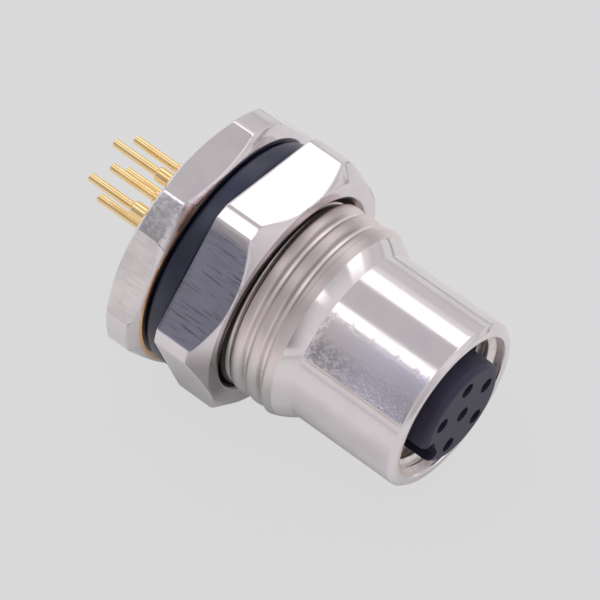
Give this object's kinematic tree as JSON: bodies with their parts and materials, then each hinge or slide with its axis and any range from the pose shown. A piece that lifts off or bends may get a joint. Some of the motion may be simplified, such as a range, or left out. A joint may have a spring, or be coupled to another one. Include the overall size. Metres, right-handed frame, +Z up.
{
  "type": "circular sensor connector",
  "caption": "Panel-mount circular sensor connector, socket side: hexagonal flange, seal, panel nut, thread, tapered nose with coupling thread, keyed insert and gold tails.",
  "frame": {"origin": "centre of the hexagonal flange's front face, where the panel is clamped", "axes": "-Y is the mating direction, out of the nose; +Y runs to the tails; +Z is up, square to one of the flange's flats; +X is right when looking into the nose"},
  "size_m": [0.0214, 0.0334, 0.021],
  "materials": {
    "nickel_plate": "bright nickel plate on turned brass",
    "seal_rubber": "smooth dark rubber",
    "insert_plastic": "moulded, satin, slate black",
    "insulator_plastic": "moulded, matt black",
    "gold_plate": "gold plate on turned brass"
  },
  "bodies": {
    "connector": {"housing": "nickel_plate", "panel_seal": "seal_rubber", "contact_insert": "insert_plastic", "coupling_seal": "seal_rubber", "carrier_seal": "seal_rubber", "rear_insulator": "insulator_plastic", "contact_1": "gold_plate", "contact_2": "gold_plate", "contact_3": "gold_plate", "contact_4": "gold_plate", "contact_5": "gold_plate", "contact_6": "gold_plate"},
    "nut": {"panel_nut": "nickel_plate"}
  },
  "joints": [
    {"name": "nut_travel", "type": "slide", "parent": "connector", "child": "nut", "axis": [0, -1, 0], "range_m": [0, 0.021]}
  ]
}
